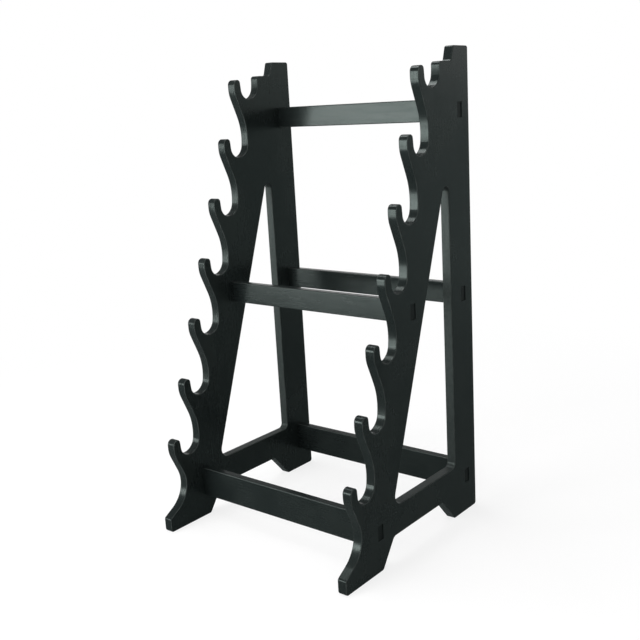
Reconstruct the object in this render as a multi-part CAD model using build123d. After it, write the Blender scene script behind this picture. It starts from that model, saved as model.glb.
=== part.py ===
"""Seven-tier floor stand for swords: two notched side panels joined by five tenoned rails.

Frame: millimetres, +Z up, +X along the rails, +Y towards the back.
The origin is on the floor, at the middle of the stand's footprint.
"""
import os
from math import acos, sin, tan

from build123d import *

# Whole stand
HEIGHT = 711.0  # floor to the top of the posts
DEPTH = 342.0  # toe of the front feet to the back of the posts
CLEAR_SPAN = 330.0  # between the inner faces of the two panels

# Boards
PANEL_THICKNESS = 15.0
ARRIS_RADIUS = 1.5  # rounding along every long edge

# Tiers, counted from the top and spread evenly over the height and the depth
TIER_COUNT = 7
BOTTOM_NOTCH_HEIGHT = 114.0  # floor to the bed of the lowest notch

# One notch and its hook, measured from the deepest place of the notch's back wall and from its bed
NOTCH_BED = 33.3  # width of the notch at its bed
NOTCH_MOUTH = 40.0  # width of the notch at the hook's tip
HOOK_THICKNESS = 13.5
HOOK_RISE = 30.0  # tip of the hook above the bed
BELLY_RISE = 8.5  # where the hook's front starts to slope back, above the bed
WALL_FOOT = 3.7  # foot of the back wall in front of its deepest place
WALL_HEAD = 2.8  # upper corner of the back wall behind its deepest place
WALL_RISE = 41.3  # upper corner of the back wall above the bed
BED_BACK_RADIUS = 20.5
BED_FRONT_RADIUS = 16.0
WALL_RADIUS = 84.0
BELLY_RADIUS = 40.0
TIP_FRONT_RADIUS = 8.0
TIP_BACK_RADIUS = 5.4

# Back post
POST_WIDTH = 60.0
TOP_WALL_SETBACK = 76.5  # back of the post to the back wall of the top notch
CROWN_RISE = 57.0  # top of the post above the bed of the top notch
CROWN_WIDTH = 39.5  # flat top of the post
STEP_HEIGHT = 21.5  # top of the post above the ledge behind the top notch
STEP_LEAN = 6.5  # run of the sloping face between ledge and top
STEP_RADIUS = 5.0
LEDGE_RADIUS = 5.0
CROWN_RADIUS = 3.5

# Feet
TOE_REACH = 20.0  # toe in front of the lowest hook
TOE_HEIGHT = 22.0
TOE_RADIUS = 4.5
ANKLE_SETBACK = 51.5  # toe to the corner where leg and foot meet
ANKLE_HEIGHT = 53.0
ANKLE_RADIUS = 45.0
FRONT_FOOT_LENGTH = 85.5
FRONT_HEEL_RUN = 28.5  # level run of the front foot's sloping heel
BACK_FOOT_LENGTH = 65.0
BACK_HEEL_RUN = 34.0  # level run of the back foot's sloping heel
ARCH_HEIGHT = 39.0
ARCH_RADIUS = 9.0
HEEL_RADIUS = 5.0

# Window between leg and post
LEG_WIDTH = 52.0  # back wall of a notch to the window, level with the bed
WINDOW_SILL = 83.0
SILL_FRONT_RADIUS = 14.0
SILL_BACK_RADIUS = 8.0
APEX_RADIUS = 8.0

# Rails and their tenons
RAIL_THICKNESS = 12.0
UPPER_RAIL_HEIGHT = 32.5
LOWER_RAIL_HEIGHT = 47.0
TENON_HEIGHT = 22.0
TENON_CLEARANCE = 0.15  # on each side of a tenon in its mortise
TENON_RECESS = 1.0  # tenon's end below the panel's outer face
BACK_RAIL_INSET = 26.0  # back of the post to the middle of a back rail
TOP_RAIL_DROP = 32.0  # middle of the top rail below the bed of the top notch
MIDDLE_RAIL_TIER = 5  # the middle rails lie above this tier's notch
MIDDLE_RAIL_RISE = 57.4  # middle of the middle rails above that notch's bed
MIDDLE_RAIL_INSET = 42.0  # middle of the front one behind that notch's back wall
BOTTOM_RAIL_HEIGHT = 58.6  # floor to the middle of the bottom rails
BOTTOM_RAIL_SETBACK = 81.5  # toe to the middle of the bottom front rail

# Places worked out from the sizes above
BACK = DEPTH / 2
TOE = -DEPTH / 2
POST_FACE = BACK - POST_WIDTH
LEDGE_HEIGHT = HEIGHT - STEP_HEIGHT
TOP_NOTCH_HEIGHT = HEIGHT - CROWN_RISE
HOOK_REACH = NOTCH_MOUTH + HOOK_THICKNESS
WALL_TURN = WALL_RISE * WALL_FOOT / (WALL_FOOT + WALL_HEAD)  # where the top notch's back wall turns upright
TIER_GAPS = TIER_COUNT - 1
TIER_RISE = (TOP_NOTCH_HEIGHT - BOTTOM_NOTCH_HEIGHT) / TIER_GAPS  # height from one notch to the next
TIER_ADVANCE = (DEPTH - TOP_WALL_SETBACK - HOOK_REACH - TOE_REACH) / TIER_GAPS  # lower notch further forward


def wall_place(tier: int) -> float:
    """Y of the deepest place of a tier's notch, with tier 1 at the top."""
    return BACK - TOP_WALL_SETBACK - (tier - 1) * TIER_ADVANCE


def bed_height(tier: int) -> float:
    """Z of the bed of a tier's notch, with tier 1 at the top."""
    return TOP_NOTCH_HEIGHT - (tier - 1) * TIER_RISE


def leg_back(height: float) -> float:
    """Y of the window's sloping front side, which runs parallel to the line of notches."""
    rise = height - bed_height(TIER_COUNT)
    return wall_place(TIER_COUNT) + LEG_WIDTH + rise * TIER_ADVANCE / TIER_RISE


def rounded_face(corners: list[tuple[float, float, float]]) -> Face:
    """Flat face bounded by straight sides and tangent arcs.

    Each corner is (across, up, radius). A radius is limited to what its two sides leave room for.
    """
    count = len(corners)
    points = [Vector(across, up) for across, up, _ in corners]
    sides = [points[(i + 1) % count] - points[i] for i in range(count)]
    ahead = [side.normalized() for side in sides]
    half_angles = [acos(-ahead[i].dot(ahead[i - 1])) / 2 for i in range(count)]
    wanted = [corner[2] / tan(half) for corner, half in zip(corners, half_angles)]
    room = [min(1.0, sides[i].length / (wanted[i] + wanted[(i + 1) % count])) for i in range(count)]
    trims = [wanted[i] * min(room[i], room[i - 1]) for i in range(count)]
    starts = [points[i] - ahead[i - 1] * trims[i] for i in range(count)]
    ends = [points[i] + ahead[i] * trims[i] for i in range(count)]
    edges = []
    for i in range(count):
        inward = (ahead[i] - ahead[i - 1]).normalized()
        radius = trims[i] * tan(half_angles[i])
        crest = points[i] + inward * (radius / sin(half_angles[i]) - radius)
        edges.append(Edge.make_three_point_arc(starts[i], crest, ends[i]))
        following = starts[(i + 1) % count]
        if (following - ends[i]).length > ARRIS_RADIUS / 100:
            edges.append(Edge.make_line(ends[i], following))
    return Face(Wire(edges))


def tier_corners(tier: int) -> list[tuple[float, float, float]]:
    """Corners of one tier's notch and hook, from the notch's back wall forward and down."""
    wall = wall_place(tier)
    bed = bed_height(tier)
    hook_front = wall - HOOK_REACH
    corners = [
        (wall - WALL_FOOT, bed, BED_BACK_RADIUS),
        (wall - WALL_FOOT - NOTCH_BED, bed, BED_FRONT_RADIUS),
        (wall - NOTCH_MOUTH, bed + HOOK_RISE, TIP_BACK_RADIUS),
        (hook_front, bed + HOOK_RISE, TIP_FRONT_RADIUS),
        (hook_front, bed + BELLY_RISE, BELLY_RADIUS),
    ]
    if tier < TIER_COUNT:
        head = wall_place(tier + 1) + WALL_HEAD
        corners.append((head, bed_height(tier + 1) + WALL_RISE, WALL_RADIUS))
    return corners


def outline_corners() -> list[tuple[float, float, float]]:
    """Corners of a panel's outline, from the top of the post down the front and back along the floor."""
    crown_front = BACK - CROWN_WIDTH
    front_heel = TOE + FRONT_FOOT_LENGTH
    back_heel = BACK - BACK_FOOT_LENGTH
    top = [
        (BACK, HEIGHT, CROWN_RADIUS),
        (crown_front, HEIGHT, CROWN_RADIUS),
        (crown_front - STEP_LEAN, LEDGE_HEIGHT, STEP_RADIUS),
        (wall_place(1), LEDGE_HEIGHT, LEDGE_RADIUS),
        (wall_place(1), bed_height(1) + WALL_TURN, WALL_RADIUS),
    ]
    tiers = [corner for tier in range(1, TIER_COUNT + 1) for corner in tier_corners(tier)]
    feet = [
        (TOE + ANKLE_SETBACK, ANKLE_HEIGHT, ANKLE_RADIUS),
        (TOE, TOE_HEIGHT, TOE_RADIUS),
        (TOE, 0.0, TOE_RADIUS),
        (front_heel, 0.0, HEEL_RADIUS),
        (front_heel + FRONT_HEEL_RUN, ARCH_HEIGHT, ARCH_RADIUS),
        (back_heel - BACK_HEEL_RUN, ARCH_HEIGHT, ARCH_RADIUS),
        (back_heel, 0.0, HEEL_RADIUS),
        (BACK, 0.0, TOE_RADIUS),
    ]
    return top + tiers + feet


def window_corners() -> list[tuple[float, float, float]]:
    """Corners of the triangular window, from the sill's back end round by the apex."""
    sill_front = leg_back(WINDOW_SILL)
    apex = WINDOW_SILL + (POST_FACE - sill_front) * TIER_RISE / TIER_ADVANCE
    return [
        (POST_FACE, WINDOW_SILL, SILL_BACK_RADIUS),
        (POST_FACE, apex, APEX_RADIUS),
        (sill_front, WINDOW_SILL, SILL_FRONT_RADIUS),
    ]


def rail_places() -> dict[str, tuple[float, float, float]]:
    """Each rail's name with the Y and Z of its middle and its height."""
    back_line = BACK - BACK_RAIL_INSET
    middle_level = bed_height(MIDDLE_RAIL_TIER) + MIDDLE_RAIL_RISE
    middle_front_line = wall_place(MIDDLE_RAIL_TIER) + MIDDLE_RAIL_INSET
    bottom_front_line = TOE + BOTTOM_RAIL_SETBACK
    return {
        "top_rail": (back_line, TOP_NOTCH_HEIGHT - TOP_RAIL_DROP, UPPER_RAIL_HEIGHT),
        "middle_back_rail": (back_line, middle_level, UPPER_RAIL_HEIGHT),
        "middle_front_rail": (middle_front_line, middle_level, UPPER_RAIL_HEIGHT),
        "bottom_back_rail": (back_line, BOTTOM_RAIL_HEIGHT, LOWER_RAIL_HEIGHT),
        "bottom_front_rail": (bottom_front_line, BOTTOM_RAIL_HEIGHT, LOWER_RAIL_HEIGHT),
    }


def side_panel(inner_face: float, outward: int) -> Part:
    """One-piece notched panel, from its inner face's X outward, with a mortise for each rail."""
    profile = rounded_face(outline_corners()) - rounded_face(window_corners())
    start = min(inner_face, inner_face + outward * PANEL_THICKNESS)
    blank = extrude(Plane.YZ.offset(start) * profile, PANEL_THICKNESS)
    ends = blank.faces().sort_by(Axis.X)
    panel = fillet(ends[0].edges() + ends[-1].edges(), ARRIS_RADIUS)
    mortise = Box(
        PANEL_THICKNESS * 2,
        RAIL_THICKNESS + 2 * TENON_CLEARANCE,
        TENON_HEIGHT + 2 * TENON_CLEARANCE,
    )
    for line, level, _ in rail_places().values():
        panel -= Pos(start + PANEL_THICKNESS / 2, line, level) * mortise
    return panel


def rail(line: float, level: float, height: float) -> Part:
    """Cross rail whose shoulders meet the panels' inner faces, with a through tenon at each end."""
    tenon_length = PANEL_THICKNESS - TENON_RECESS
    bar = Box(CLEAR_SPAN, RAIL_THICKNESS, height)
    bar = fillet(bar.edges().filter_by(Axis.X), ARRIS_RADIUS)
    tenons = Box(CLEAR_SPAN + 2 * tenon_length, RAIL_THICKNESS, TENON_HEIGHT)
    return Pos(0, line, level) * (bar + tenons)


def build() -> dict[str, Part]:
    """Every piece of the stand by its node name."""
    pieces = {
        "left_side_panel": side_panel(-CLEAR_SPAN / 2, -1),
        "right_side_panel": side_panel(CLEAR_SPAN / 2, 1),
    }
    for name, (line, level, height) in rail_places().items():
        pieces[name] = rail(line, level, height)
    return pieces


os.makedirs("parts", exist_ok=True)
for node, piece in build().items():
    export_step(piece, f"parts/{node}.step")
width = CLEAR_SPAN + 2 * PANEL_THICKNESS
print(f"overall {width:.1f} x {DEPTH:.1f} x {HEIGHT:.1f} mm")
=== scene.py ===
"""Looks of a seven-tier floor stand for swords: black lacquer, studio stage, light and camera.

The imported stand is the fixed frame. Each panel and rail keeps its shape and gets its lacquer here.
Units are metres. +Z is up, +X runs along the rails and +Y points to the back.
"""

import logging
from dataclasses import dataclass
from enum import Enum
from math import cos, pi, radians, sin

import bmesh
import bpy
from mathutils import Matrix, Vector


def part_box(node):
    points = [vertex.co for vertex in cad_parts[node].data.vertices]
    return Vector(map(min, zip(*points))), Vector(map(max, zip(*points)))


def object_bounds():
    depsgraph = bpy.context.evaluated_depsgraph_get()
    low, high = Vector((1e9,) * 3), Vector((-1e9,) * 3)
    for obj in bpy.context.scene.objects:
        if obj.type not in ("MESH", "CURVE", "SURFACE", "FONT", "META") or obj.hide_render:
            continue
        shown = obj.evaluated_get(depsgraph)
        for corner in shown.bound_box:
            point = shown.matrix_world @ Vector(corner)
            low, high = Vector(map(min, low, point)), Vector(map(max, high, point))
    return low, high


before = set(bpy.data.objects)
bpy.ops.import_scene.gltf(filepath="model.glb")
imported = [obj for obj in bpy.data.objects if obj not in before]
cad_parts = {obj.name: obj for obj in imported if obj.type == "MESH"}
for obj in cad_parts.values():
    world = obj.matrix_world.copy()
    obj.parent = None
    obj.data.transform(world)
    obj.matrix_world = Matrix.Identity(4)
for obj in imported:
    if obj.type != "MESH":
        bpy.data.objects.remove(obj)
CAD_LOW, CAD_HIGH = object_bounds()
PANEL_INNER_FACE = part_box("right_side_panel")[0].x

LOG = logging.getLogger("sword_stand")
MILLIMETRES = 1000.0

Triple = tuple[float, float, float]
Colour = Triple
Span = tuple[float, float]
Socket = bpy.types.NodeSocket
Value = float | Socket

WHOLE: Span = (0.0, 1.0)


class GrainRun(Enum):
    """Way the wood's grain runs, as the squeeze of the grain's pattern along X, Y and Z."""

    ALONG_RAIL = (0.06, 1.0, 1.0)
    UP_THE_PANEL = (1.0, 1.0, 0.035)


class BroadFace(Enum):
    """Direction that a board's two broad faces look in."""

    ENDS = (1.0, 0.0, 0.0)
    FRONT_AND_BACK = (0.0, 1.0, 0.0)


class LampShape(Enum):
    """Outline of a studio lamp, with the share of its box that it fills."""

    BOX = ("RECTANGLE", 1.0)
    ROUND = ("ELLIPSE", pi / 4)


class MixKind(Enum):
    """What a Mix node mixes, with the numbers of its first, second and result sockets."""

    COLOUR = ("RGBA", 6, 7, 2)
    NUMBER = ("FLOAT", 2, 3, 0)


@dataclass
class NodeDesk:
    """Adds nodes to one node tree, of a material, a world or a node group, and joins them."""

    tree: bpy.types.NodeTree

    def add(self, kind: str, **settings: object) -> bpy.types.Node:
        """Add a node.

        Args:
            kind: Type of the node, such as ShaderNodeMath.
            settings: Attributes to set on the node.

        Returns:
            The new node.
        """
        node = self.tree.nodes.new(kind)
        for name, setting in settings.items():
            setattr(node, name, setting)
        return node

    def feed(self, target: Socket, source: Value | Colour) -> None:
        """Link a socket to another one, or set its own value.

        Args:
            target: Input to feed.
            source: Output socket, number or colour.
        """
        if isinstance(source, bpy.types.NodeSocket):
            self.tree.links.new(source, target)
        elif isinstance(source, tuple) and target.type == "RGBA":
            target.default_value = (*source, 1.0)
        else:
            target.default_value = source

    def math(
        self, operation: str, first: Value, second: Value = 0.0, clamp: bool = False
    ) -> Socket:
        """Join one or two values by a sum.

        Args:
            operation: Name of the sum, such as MULTIPLY.
            first: First value.
            second: Second value, where the sum takes one.
            clamp: Keep the result between 0 and 1.

        Returns:
            The result's socket.
        """
        node = self.add("ShaderNodeMath", operation=operation, use_clamp=clamp)
        self.feed(node.inputs[0], first)
        self.feed(node.inputs[1], second)
        return node.outputs[0]

    def weigh(self, total: Value, share: Socket, weight: float) -> Socket:
        """Add a weighted share to a running total.

        Args:
            total: The total so far.
            share: Value to add.
            weight: Weight of the added value.

        Returns:
            The new total's socket.
        """
        node = self.add("ShaderNodeMath", operation="MULTIPLY_ADD")
        for socket, value in zip(node.inputs, (share, weight, total)):
            self.feed(socket, value)
        return node.outputs[0]

    def ramp(self, value: Socket, span: Span, result: Span = WHOLE) -> Socket:
        """Map a value smoothly from one span to another, held at both ends.

        Args:
            value: Value to map.
            span: Where the value starts and ends.
            result: Result at the span's start and end.

        Returns:
            The result's socket.
        """
        node = self.add("ShaderNodeMapRange", interpolation_type="SMOOTHSTEP")
        for name, number in zip(("From Min", "From Max", "To Min", "To Max"), span + result):
            node.inputs[name].default_value = number
        self.feed(node.inputs["Value"], value)
        return node.outputs["Result"]

    def blend(
        self,
        share: Socket,
        first: Value | Colour,
        second: Value | Colour,
        kind: MixKind = MixKind.COLOUR,
    ) -> Socket:
        """Mix two colours or two numbers.

        Args:
            share: Share of the second one.
            first: Colour or number at share 0.
            second: Colour or number at share 1.
            kind: What is mixed.

        Returns:
            The mixture's socket.
        """
        data_type, first_socket, second_socket, result_socket = kind.value
        node = self.add("ShaderNodeMix", data_type=data_type)
        self.feed(node.inputs[0], share)
        self.feed(node.inputs[first_socket], first)
        self.feed(node.inputs[second_socket], second)
        return node.outputs[result_socket]

    def stretch(self, vector: Socket, factors: Triple | Socket) -> Socket:
        """Multiply a vector by factors along X, Y and Z.

        Args:
            vector: Vector to stretch.
            factors: Factor along each axis.

        Returns:
            The stretched vector's socket.
        """
        node = self.add("ShaderNodeVectorMath", operation="MULTIPLY")
        self.feed(node.inputs[0], vector)
        self.feed(node.inputs[1], factors)
        return node.outputs[0]

    def split(self, vector: Socket) -> bpy.types.bpy_prop_collection:
        """Split a vector into its X, Y and Z.

        Args:
            vector: Vector to split.

        Returns:
            The sockets of the three parts, by name.
        """
        node = self.add("ShaderNodeSeparateXYZ")
        self.feed(node.inputs[0], vector)
        return node.outputs

    def noise(
        self, vector: Socket, scale: Value, detail: float = 2.0, roughness: float = 0.5
    ) -> Socket:
        """Add smooth noise over space.

        Args:
            vector: Place to read the noise at.
            scale: Features per metre.
            detail: Number of finer layers.
            roughness: Strength of the finer layers.

        Returns:
            The noise's value socket, around 0.5.
        """
        node = self.add("ShaderNodeTexNoise")
        self.feed(node.inputs["Vector"], vector)
        self.feed(node.inputs["Scale"], scale)
        node.inputs["Detail"].default_value = detail
        node.inputs["Roughness"].default_value = roughness
        return node.outputs["Fac"]

    def place(self, group: bpy.types.NodeTree, **values: Value | Triple) -> bpy.types.Node:
        """Place a node group with its own values.

        Args:
            group: The group's tree.
            values: Value or socket for each input, with _ for the space in its name.

        Returns:
            The group's node.
        """
        node = self.add("ShaderNodeGroup", node_tree=group)
        for name, value in values.items():
            self.feed(node.inputs[name.replace("_", " ")], value)
        return node


@dataclass(frozen=True)
class GroupSocket:
    """One named input or output of a node group."""

    name: str
    kind: str = "NodeSocketFloat"


class EffectGroup:
    """Shader node group of one surface effect, built once and placed in each finish."""

    title: str = ""
    takes: tuple[GroupSocket, ...] = ()
    gives: tuple[GroupSocket, ...] = ()

    def tree(self) -> bpy.types.NodeTree:
        """Find the group's tree, or build it at the first call.

        Returns:
            The node tree to place in a material.
        """
        found = bpy.data.node_groups.get(self.title)
        if found:
            return found
        tree = bpy.data.node_groups.new(self.title, "ShaderNodeTree")
        for way, sockets in (("INPUT", self.takes), ("OUTPUT", self.gives)):
            for socket in sockets:
                tree.interface.new_socket(name=socket.name, in_out=way, socket_type=socket.kind)
        desk = NodeDesk(tree)
        source = desk.add("NodeGroupInput")
        sink = desk.add("NodeGroupOutput")
        for name, result in self.results(desk, source.outputs).items():
            desk.feed(sink.inputs[name], result)
        return tree

    def results(self, desk: NodeDesk, given: bpy.types.bpy_prop_collection) -> dict[str, Socket]:
        """Build the effect's nodes.

        Args:
            desk: Desk of the group's tree.
            given: Sockets of the group's inputs.

        Returns:
            Each output's name with its socket.
        """
        raise NotImplementedError


class WoodGrain(EffectGroup):
    """Grain lines and open pores that show through thin lacquer."""

    title = "wood_grain"
    takes = (
        GroupSocket("Place", "NodeSocketVector"),
        GroupSocket("Squeeze", "NodeSocketVector"),
        GroupSocket("Lines"),
    )
    gives = (GroupSocket("Line"), GroupSocket("Pore"))

    WANDER_SCALE = 5.0
    WANDER_REACH = 0.006
    PORE_FINENESS = 2.6
    PORE_SPAN = (0.62, 0.74)

    def results(self, desk: NodeDesk, given: bpy.types.bpy_prop_collection) -> dict[str, Socket]:
        """Build wandering lines and, along them, short pores.

        Args:
            desk: Desk of the group's tree.
            given: Sockets of the group's inputs.

        Returns:
            The line's value and the pores' mask.
        """
        wander = desk.add("ShaderNodeTexNoise")
        wander.inputs["Scale"].default_value = self.WANDER_SCALE
        desk.feed(wander.inputs["Vector"], given["Place"])
        drift = desk.stretch(wander.outputs["Color"], (self.WANDER_REACH,) * 3)
        moved = desk.add("ShaderNodeVectorMath", operation="ADD")
        desk.feed(moved.inputs[0], given["Place"])
        desk.feed(moved.inputs[1], drift)
        along = desk.stretch(moved.outputs[0], given["Squeeze"])
        line = desk.noise(along, given["Lines"], detail=4.0, roughness=0.6)
        pore_scale = desk.math("MULTIPLY", given["Lines"], self.PORE_FINENESS)
        pore = desk.noise(along, pore_scale, detail=1.0)
        return {"Line": line, "Pore": desk.ramp(pore, self.PORE_SPAN)}


class LacquerSkin(EffectGroup):
    """Unevenness of a lacquer film: sanding waves, small ripples and cloudy sheen."""

    title = "lacquer_skin"
    takes = (
        GroupSocket("Place", "NodeSocketVector"),
        GroupSocket("Waves"),
        GroupSocket("Ripples"),
    )
    gives = (GroupSocket("Wave"), GroupSocket("Ripple"), GroupSocket("Cloud"))

    CLOUD_SCALE = 9.0
    CLOUD_SPAN = (0.32, 0.68)

    def results(self, desk: NodeDesk, given: bpy.types.bpy_prop_collection) -> dict[str, Socket]:
        """Build three layers of noise: waves, ripples and clouds.

        Args:
            desk: Desk of the group's tree.
            given: Sockets of the group's inputs.

        Returns:
            Wave and ripple heights and the sheen's cloud.
        """
        wave = desk.noise(given["Place"], given["Waves"], detail=1.0)
        ripple = desk.noise(given["Place"], given["Ripples"])
        cloud = desk.noise(given["Place"], self.CLOUD_SCALE, detail=5.0, roughness=0.6)
        return {"Wave": wave, "Ripple": ripple, "Cloud": desk.ramp(cloud, self.CLOUD_SPAN)}


class ArrisWearAndHighlight(EffectGroup):
    """Mask of a board's rounded edges, where handling thins and burnishes the lacquer and where a
    painted highlight lines each arris.
    """

    title = "arris_wear_and_highlight"
    takes = (
        GroupSocket("Place", "NodeSocketVector"),
        GroupSocket("Broad Face", "NodeSocketVector"),
        GroupSocket("Patches"),
    )
    gives = (GroupSocket("Wear And Highlight"), GroupSocket("Narrow Side"))

    TURN_SPAN = (0.35, 0.95)
    NARROW_SPAN = (0.75, 0.35)
    PATCH_SPAN = (0.38, 0.68)
    PATCH_WEAR_AND_HIGHLIGHT = (0.4, 1.0)

    def results(self, desk: NodeDesk, given: bpy.types.bpy_prop_collection) -> dict[str, Socket]:
        """Build the masks from how far the surface turns away from the broad faces.

        The turn is 0 on a board's flat faces and narrow sides, and 1 half way round an arris.

        Args:
            desk: Desk of the group's tree.
            given: Sockets of the group's inputs.

        Returns:
            The mask of the edges' wear and painted highlight, and the mask of the board's narrow
            sides.
        """
        facing = desk.add("ShaderNodeVectorMath", operation="DOT_PRODUCT")
        desk.feed(facing.inputs[0], desk.add("ShaderNodeNewGeometry").outputs["Normal"])
        desk.feed(facing.inputs[1], given["Broad Face"])
        straight = desk.math("ABSOLUTE", facing.outputs["Value"])
        square = desk.math("MULTIPLY", straight, straight)
        sideways = desk.math("SQRT", desk.math("SUBTRACT", 1.0, square, clamp=True))
        turn = desk.math("MULTIPLY", desk.math("MULTIPLY", straight, sideways), 2.0)
        cover = desk.noise(given["Place"], given["Patches"], detail=4.0)
        # Patches vary the wear; the floor of their span keeps a painted highlight along every arris.
        patch = desk.ramp(cover, self.PATCH_SPAN, self.PATCH_WEAR_AND_HIGHLIGHT)
        wear_and_highlight = desk.math("MULTIPLY", desk.ramp(turn, self.TURN_SPAN), patch)
        return {"Wear And Highlight": wear_and_highlight, "Narrow Side": desk.ramp(straight, self.NARROW_SPAN)}


@dataclass(frozen=True)
class Lacquer:
    """Satin black lacquer on a wooden board."""

    name: str
    grain: GrainRun
    broad_face: BroadFace
    deep: Colour = (0.0074, 0.0100, 0.0099)
    pale: Colour = (0.0117, 0.0148, 0.0142)
    # Paler colour on the arrises: a painted highlight along the edges, with some edge wear.
    wear_and_highlight_colour: Colour = (0.044, 0.050, 0.048)
    sheen_tint: Colour = (0.82, 1.0, 0.94)
    specular: float = 0.285
    roughness: float = 0.20
    cloud_roughness: float = 0.07
    line_roughness: float = 0.05
    rub_roughness: float = -0.06
    line_span: Span = (0.35, 0.75)
    line_shade: Span = (0.0, 0.45)
    film_span: Span = (0.35, 0.65)
    film_streaks: float = 0.06
    film_roughness: float = 0.20
    grain_lines: float = 480.0
    wave_count: float = 34.0
    ripple_count: float = 260.0
    patch_count: float = 45.0
    relief: float = 0.001
    wave_relief: float = 0.10
    ripple_relief: float = 0.016
    line_relief: float = 0.022
    pore_relief: float = 0.024

    def material(self) -> bpy.types.Material:
        """Build the finish.

        Returns:
            The new material.
        """
        material = bpy.data.materials.new(self.name)
        material.use_nodes = True
        desk = NodeDesk(material.node_tree)
        shader = material.node_tree.nodes["Principled BSDF"]
        place = desk.add("ShaderNodeTexCoord").outputs["Object"]
        grain = desk.place(
            WoodGrain().tree(), Place=place, Squeeze=self.grain.value, Lines=self.grain_lines
        ).outputs
        skin = desk.place(
            LacquerSkin().tree(), Place=place, Waves=self.wave_count, Ripples=self.ripple_count
        ).outputs
        edge = desk.place(
            ArrisWearAndHighlight().tree(),
            Place=place,
            Broad_Face=self.broad_face.value,
            Patches=self.patch_count,
        ).outputs
        film = desk.blend(skin["Cloud"], self.deep, self.pale)
        shade = desk.ramp(grain["Line"], self.line_span, self.line_shade)
        # The arrises take a paler colour: a painted highlight along the edges, with some edge wear.
        colour = desk.blend(edge["Wear And Highlight"], desk.blend(shade, film, self.deep), self.wear_and_highlight_colour)
        rough = desk.weigh(self.roughness, skin["Cloud"], self.cloud_roughness)
        rough = desk.weigh(rough, grain["Line"], self.line_roughness)
        rough = desk.weigh(rough, edge["Wear And Highlight"], self.rub_roughness)
        height = desk.math("MULTIPLY", skin["Wave"], self.wave_relief)
        height = desk.weigh(height, skin["Ripple"], self.ripple_relief)
        height = desk.weigh(height, grain["Line"], self.line_relief)
        height = desk.weigh(height, grain["Pore"], -self.pore_relief)
        colour, rough, height = self.zones(desk, place, edge, (colour, rough, height))
        bump = desk.add("ShaderNodeBump")
        bump.inputs["Distance"].default_value = self.relief
        desk.feed(bump.inputs["Height"], height)
        streaks = desk.ramp(grain["Line"], self.film_span, (0.0, self.film_streaks))
        desk.feed(shader.inputs["Base Color"], colour)
        desk.feed(shader.inputs["Roughness"], rough)
        desk.feed(shader.inputs["Normal"], bump.outputs["Normal"])
        desk.feed(shader.inputs["Coat Weight"], streaks)
        desk.feed(shader.inputs["Coat Roughness"], self.film_roughness)
        desk.feed(shader.inputs["Specular IOR Level"], self.specular)
        desk.feed(shader.inputs["Specular Tint"], self.sheen_tint)
        return material

    def zones(
        self,
        desk: NodeDesk,
        place: Socket,
        edge: bpy.types.bpy_prop_collection,
        surface: tuple[Socket, Socket, Socket],
    ) -> tuple[Socket, Socket, Socket]:
        """Change the finish where a board's surface differs from its broad faces.

        Args:
            desk: Desk of the material's tree.
            place: Place on the stand.
            edge: Outputs of the arris group.
            surface: Colour, roughness and height of the broad faces.

        Returns:
            Colour, roughness and height of the whole board.
        """
        raise NotImplementedError


@dataclass(frozen=True)
class PanelLacquer(Lacquer):
    """Lacquer of the side panels, whose sawn sides show the board's layers.

    The sides of the triangular window, the reveal, are less polished than the outline. Its
    place follows from the post, the sill, the leg and the slope of the tiers.
    """

    layer_count: float = 620.0
    layer_squeeze: float = 0.03
    layer_relief: float = 0.10
    layer_roughness: float = -0.08
    reveal_tone: Colour = (0.022, 0.026, 0.025)
    reveal_roughness: float = 0.20
    speck_count: float = 420.0
    speck_span: Span = (0.35, 0.65)
    speck_share: Span = (0.4, 1.0)
    speck_relief: float = 0.12
    arris: float = 0.0015
    post_width: float = 0.060
    sill_height: float = 0.083
    leg_reach: float = 0.114
    tier_rise: float = 0.090
    tier_advance: float = 0.032

    def zones(
        self,
        desk: NodeDesk,
        place: Socket,
        edge: bpy.types.bpy_prop_collection,
        surface: tuple[Socket, Socket, Socket],
    ) -> tuple[Socket, Socket, Socket]:
        """Draw faint lines along the sawn sides, one for each layer, and roughen the reveal.

        Args:
            desk: Desk of the material's tree.
            place: Place on the stand.
            edge: Outputs of the arris group.
            surface: Colour, roughness and height of the broad faces.

        Returns:
            Colour, roughness and height of the whole panel.
        """
        colour, rough, height = surface
        across = desk.stretch(place, (1.0, self.layer_squeeze, self.layer_squeeze))
        layer = desk.noise(across, self.layer_count, detail=1.0)
        shown = desk.math("MULTIPLY", layer, edge["Narrow Side"])
        rough = desk.weigh(rough, shown, self.layer_roughness)
        reveal = desk.math("MULTIPLY", self.reveal(desk, place), edge["Narrow Side"])
        grit = desk.noise(place, self.speck_count, detail=3.0)
        # Paler specks lighten the window's sides, the reveal.
        pale_specks = desk.math("MULTIPLY", reveal, desk.ramp(grit, self.speck_span, self.speck_share))
        colour = desk.blend(pale_specks, colour, self.reveal_tone)
        rough = desk.weigh(rough, reveal, self.reveal_roughness)
        height = desk.weigh(height, shown, self.layer_relief)
        height = desk.weigh(height, pale_specks, self.speck_relief)
        return colour, rough, height

    def reveal(self, desk: NodeDesk, place: Socket) -> Socket:
        """Mark the space of the window, out to the rounding of its edges.

        Args:
            desk: Desk of the material's tree.
            place: Place on the stand.

        Returns:
            Socket that is 1 inside the window and 0 elsewhere.
        """
        front = CAD_LOW.y + self.leg_reach - self.arris
        back = CAD_HIGH.y - self.post_width + self.arris
        parts = desk.split(place)
        above = desk.math("SUBTRACT", parts["Z"], self.sill_height - self.arris)
        leg = desk.weigh(front, above, self.tier_advance / self.tier_rise)
        behind = desk.math("GREATER_THAN", parts["Y"], leg)
        before = desk.math("LESS_THAN", parts["Y"], back)
        higher = desk.math("GREATER_THAN", above, 0.0)
        return desk.math("MULTIPLY", desk.math("MULTIPLY", behind, before), higher)


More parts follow.
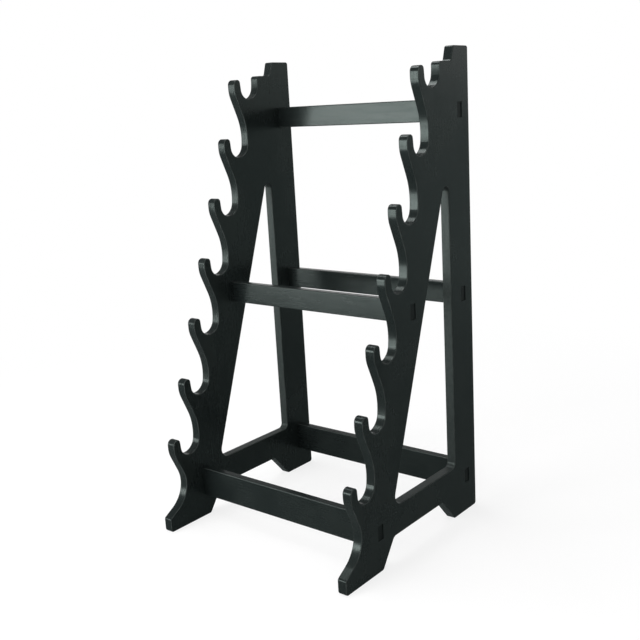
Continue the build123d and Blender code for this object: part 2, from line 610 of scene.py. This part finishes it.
@dataclass(frozen=True)
class RailLacquer(Lacquer):
    """Lacquer of the cross rails, which soaks into the end grain of their tenons."""

    # Paler arris colour of the rails: a painted highlight along the edges, with some edge wear.
    wear_and_highlight_colour: Colour = (0.034, 0.039, 0.037)
    specular: float = 0.275
    film_streaks: float = 0.11
    grain_lines: float = 340.0
    ripple_count: float = 150.0
    ripple_relief: float = 0.032
    cloud_roughness: float = 0.04
    wave_relief: float = 0.06
    line_relief: float = 0.03
    shoulder: float = PANEL_INNER_FACE
    soak_depth: float = 0.004
    soaked: Colour = (0.0042, 0.0050, 0.0052)
    soaked_roughness: float = 0.30
    ring_count: float = 1500.0
    ring_relief: float = 0.05

    def zones(
        self,
        desk: NodeDesk,
        place: Socket,
        edge: bpy.types.bpy_prop_collection,
        surface: tuple[Socket, Socket, Socket],
    ) -> tuple[Socket, Socket, Socket]:
        """Darken and roughen the tenons beyond the rail's shoulders.

        Args:
            desk: Desk of the material's tree.
            place: Place on the stand.
            edge: Outputs of the arris group; not used here.
            surface: Colour, roughness and height of the broad faces.

        Returns:
            Colour, roughness and height of the whole rail.
        """
        colour, rough, height = surface
        reach = desk.math("ABSOLUTE", desk.split(place)["X"])
        tenon = desk.ramp(reach, (self.shoulder, self.shoulder + self.soak_depth))
        colour = desk.blend(tenon, colour, self.soaked)
        rough = desk.weigh(rough, tenon, self.soaked_roughness)
        rings = desk.noise(place, self.ring_count)
        height = desk.weigh(height, desk.math("MULTIPLY", rings, tenon), self.ring_relief)
        return colour, rough, height


@dataclass
class BoardSet:
    """Boards of one kind, kept as the frame's own pieces."""

    nodes: tuple[str, ...]
    finish: Lacquer

    def dress(self) -> None:
        """Give every board of the set its lacquer."""
        material = self.finish.material()
        for node in self.nodes:
            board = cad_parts[node]
            for slot in board.material_slots:
                slot.material = material
            low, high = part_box(node)
            size = " x ".join(f"{MILLIMETRES * side:.0f}" for side in high - low)
            LOG.info("%s: %s mm, %s", node, size, material.name)


@dataclass
class SidePanels(BoardSet):
    """The two notched panels that carry the tiers."""

    nodes: tuple[str, ...] = ("left_side_panel", "right_side_panel")
    finish: Lacquer = PanelLacquer("panel_lacquer_satin", GrainRun.UP_THE_PANEL, BroadFace.ENDS)


@dataclass
class CrossRails(BoardSet):
    """The five rails that hold the panels apart."""

    nodes: tuple[str, ...] = (
        "top_rail",
        "middle_back_rail",
        "middle_front_rail",
        "bottom_back_rail",
        "bottom_front_rail",
    )
    finish: Lacquer = RailLacquer(
        "rail_lacquer_satin", GrainRun.ALONG_RAIL, BroadFace.FRONT_AND_BACK
    )


@dataclass
class StudioStage:
    """Pale floor, white surroundings, and a glowing grey sheet that only mirrored rays see: a
    painted reflection, darker near the stand as painted shade.

    A sheet's rings are pairs of radius and height, from the middle outward.
    """

    floor_rings: tuple[Span, ...] = ((14.0, 0.0),)
    reflection_sheet_rings: tuple[Span, ...] = ((4.0, 0.0004), (12.0, 1.12))
    rim_points: int = 96
    floor_colour: Colour = (0.90, 0.90, 0.90)
    floor_roughness: float = 0.9
    floor_specular: float = 0.0
    glow_reach: Span = (0.5, 1.4)
    glow_share: Span = (0.78, 1.0)
    # The sheet glows grey as a painted reflection; its darker middle is a painted shadow of the
    # stand.
    reflection_sheet_near_shade: Colour = (0.150, 0.174, 0.170)
    reflection_sheet_far: Colour = (0.305, 0.352, 0.345)
    reflection_sheet_reach: Span = (0.3, 3.0)
    backdrop_colour: Colour = (1.0, 1.0, 1.0)
    wall_rise: Span = (0.17, 0.36)
    wall_level: Span = (1.0, 0.15)
    fill_level: float = 0.50

    def build(self) -> None:
        """Make the floor, the glowing sheet of painted reflection and the surroundings."""
        self.lay("studio_floor", self.floor_rings, self.floor_finish())
        # A glowing grey sheet that only mirrored rays see: a painted reflection.
        reflection_sheet = self.lay("studio_reflection_sheet", self.reflection_sheet_rings, self.reflection_sheet_finish())
        reflection_sheet.visible_camera = False
        reflection_sheet.visible_diffuse = False
        reflection_sheet.visible_transmission = False
        reflection_sheet.visible_shadow = False
        self.surroundings()

    def lay(
        self, name: str, rings: tuple[Span, ...], finish: bpy.types.Material
    ) -> bpy.types.Object:
        """Lay a round sheet of the stage.

        Args:
            name: The sheet's name.
            rings: Radius and height of each ring, from the middle outward.
            finish: Its material.

        Returns:
            The new object.
        """
        mesh = bpy.data.meshes.new(name)
        sheet = bmesh.new()
        turns = [2 * pi * step / self.rim_points for step in range(self.rim_points)]
        inner = []
        for radius, level in rings:
            places = [(radius * cos(turn), radius * sin(turn), level) for turn in turns]
            outer = [sheet.verts.new(place) for place in places]
            if inner:
                for step in range(self.rim_points):
                    sheet.faces.new((inner[step - 1], outer[step - 1], outer[step], inner[step]))
            else:
                sheet.faces.new(outer)
            inner = outer
        sheet.to_mesh(mesh)
        sheet.free()
        mesh.materials.append(finish)
        laid = bpy.data.objects.new(name, mesh)
        bpy.context.scene.collection.objects.link(laid)
        LOG.info("%s: %.0f m across", name, 2 * rings[-1][0])
        return laid

    def floor_finish(self) -> bpy.types.Material:
        """Build the floor's pale finish, which keeps a soft shadow near the stand.

        Returns:
            The new material.
        """
        material = bpy.data.materials.new("studio_floor_paint")
        material.use_nodes = True
        desk = NodeDesk(material.node_tree)
        paint = material.node_tree.nodes["Principled BSDF"]
        desk.feed(paint.inputs["Base Color"], self.floor_colour)
        desk.feed(paint.inputs["Roughness"], self.floor_roughness)
        desk.feed(paint.inputs["Specular IOR Level"], self.floor_specular)
        glow = desk.add("ShaderNodeEmission")
        share = desk.ramp(self.reach(desk), self.glow_reach, self.glow_share)
        mix = desk.add("ShaderNodeMixShader")
        desk.feed(mix.inputs[0], desk.math("MULTIPLY", share, self.shown_rays(desk)))
        desk.feed(mix.inputs[1], paint.outputs["BSDF"])
        desk.feed(mix.inputs[2], glow.outputs["Emission"])
        output = material.node_tree.nodes["Material Output"]
        desk.feed(output.inputs["Surface"], mix.outputs["Shader"])
        return material

    def reflection_sheet_finish(self) -> bpy.types.Material:
        """Build the glowing sheet's finish: a painted reflection in grey, darker near the stand as
        painted shade and paler further out.

        Returns:
            The new material.
        """
        material = bpy.data.materials.new("studio_reflection_sheet_glow")
        material.use_nodes = True
        desk = NodeDesk(material.node_tree)
        glow = desk.add("ShaderNodeEmission")
        share = desk.ramp(self.reach(desk), self.reflection_sheet_reach)
        desk.feed(glow.inputs["Color"], desk.blend(share, self.reflection_sheet_near_shade, self.reflection_sheet_far))
        output = material.node_tree.nodes["Material Output"]
        desk.feed(output.inputs["Surface"], glow.outputs["Emission"])
        material.cycles.emission_sampling = "NONE"
        return material

    @staticmethod
    def reach(desk: NodeDesk) -> Socket:
        """Find how far a point of a sheet lies from its middle.

        Args:
            desk: Desk of the sheet's material.

        Returns:
            The distance's socket, in metres.
        """
        length = desk.add("ShaderNodeVectorMath", operation="LENGTH")
        desk.feed(length.inputs[0], desk.add("ShaderNodeTexCoord").outputs["Object"])
        return length.outputs["Value"]

    @staticmethod
    def shown_rays(desk: NodeDesk) -> Socket:
        """Find the rays that see the background: direct, mirrored or through glass.

        Args:
            desk: Desk of the tree.

        Returns:
            Socket that is 1 for such rays and 0 for the rest.
        """
        light_path = desk.add("ShaderNodeLightPath").outputs
        seen = desk.math("MAXIMUM", light_path["Is Camera Ray"], light_path["Is Glossy Ray"])
        return desk.math("MAXIMUM", seen, light_path["Is Transmission Ray"])

    def surroundings(self) -> None:
        """Build the world: white walls up to a dim ceiling, with an even fill light."""
        world = bpy.data.worlds.new("studio_surroundings")
        bpy.context.scene.world = world
        world.use_nodes = True
        desk = NodeDesk(world.node_tree)
        rise = desk.split(desk.add("ShaderNodeTexCoord").outputs["Generated"])["Z"]
        walls = desk.ramp(rise, self.wall_rise, self.wall_level)
        level = desk.blend(self.shown_rays(desk), self.fill_level, walls, MixKind.NUMBER)
        backdrop = world.node_tree.nodes["Background"]
        desk.feed(backdrop.inputs["Color"], self.backdrop_colour)
        desk.feed(backdrop.inputs["Strength"], level)


@dataclass(frozen=True)
class Softbox:
    """One flat studio lamp.

    Its bearing is in degrees from straight in front of the stand, to the right. Its brightness
    is the level that a mirror shows.
    """

    name: str
    bearing: float
    distance: float
    height: float
    width: float
    tall: float
    brightness: float
    shape: LampShape = LampShape.BOX
    mirrored: bool = True
    aim: Triple = (0.0, 0.0, 0.5)

    def build(self) -> None:
        """Place the lamp and turn it to its aim."""
        lamp = bpy.data.lights.new(self.name, "AREA")
        lamp.shape, filled = self.shape.value
        lamp.size = self.width
        lamp.size_y = self.tall
        lamp.energy = self.brightness * pi * filled * self.width * self.tall
        turn = radians(self.bearing)
        holder = bpy.data.objects.new(self.name, lamp)
        holder.location = (self.distance * sin(turn), -self.distance * cos(turn), self.height)
        gaze = Vector(self.aim) - holder.location
        holder.rotation_euler = gaze.to_track_quat("-Z", "Y").to_euler()
        holder.visible_camera = False
        holder.visible_glossy = self.mirrored
        bpy.context.scene.collection.objects.link(holder)
        LOG.info("%s: %.1f x %.1f m at %.1f m", self.name, self.width, self.tall, self.distance)


# The glow lies on the floor and looks up. It leans outward a little, which turns its long side
# towards the stand. The last two lamps only light the stand and aren't mirrored in it.
STUDIO_LAMPS = (
    Softbox(
        "front_window",
        bearing=-34.0,
        distance=3.8,
        height=0.55,
        width=1.70,
        tall=1.09,
        brightness=7.9,
        aim=(0.0, 0.0, 0.55),
    ),
    Softbox(
        "floor_glow",
        bearing=-28.83,
        distance=2.945,
        height=0.004,
        width=1.70,
        tall=2.80,
        brightness=7.2,
        shape=LampShape.ROUND,
        aim=(-1.432, -2.596, 1.0),
    ),
    Softbox(
        "left_overhead",
        bearing=-99.0,
        distance=1.36,
        height=3.4,
        width=1.9,
        tall=1.03,
        brightness=5.2,
        aim=(0.0, 0.0, 0.4),
    ),
    Softbox(
        "front_fill",
        bearing=-20.0,
        distance=2.0,
        height=1.1,
        width=1.2,
        tall=1.2,
        brightness=7.0,
        mirrored=False,
    ),
    Softbox(
        "ceiling_panel",
        bearing=10.0,
        distance=0.6,
        height=3.0,
        width=2.4,
        tall=2.4,
        brightness=1.8,
        mirrored=False,
    ),
)


@dataclass
class PhotoCamera:
    """Camera at the photograph's viewing angle, for a square picture."""

    place: Triple = (0.8678, -1.0122, 0.6372)
    yaw: float = 38.93
    pitch: float = 13.0
    roll: float = 3.051
    level_tilt: float = 90.0
    lens: float = 50.88
    film: float = 36.0
    shift: Span = (-0.0261, -0.0091)

    def build(self) -> None:
        """Make the scene's camera."""
        data = bpy.data.cameras.new("photo_camera")
        data.lens = self.lens
        data.sensor_width = self.film
        data.shift_x, data.shift_y = self.shift
        camera = bpy.data.objects.new("photo_camera", data)
        turn = Matrix.Rotation(radians(self.yaw), 4, "Z")
        tilt = Matrix.Rotation(radians(self.level_tilt - self.pitch), 4, "X")
        lean = Matrix.Rotation(radians(-self.roll), 4, "Z")
        camera.matrix_world = Matrix.Translation(self.place) @ turn @ tilt @ lean
        bpy.context.scene.collection.objects.link(camera)
        bpy.context.scene.camera = camera


def main() -> None:
    """Dress the stand and set up its stage, lamps and camera."""
    logging.basicConfig(level=logging.INFO, format="%(name)s %(message)s")
    bpy.context.scene.view_settings.view_transform = "Standard"
    PhotoCamera().build()
    SidePanels().dress()
    CrossRails().dress()
    StudioStage().build()
    for lamp in STUDIO_LAMPS:
        lamp.build()


if __name__ == "__main__":
    main()
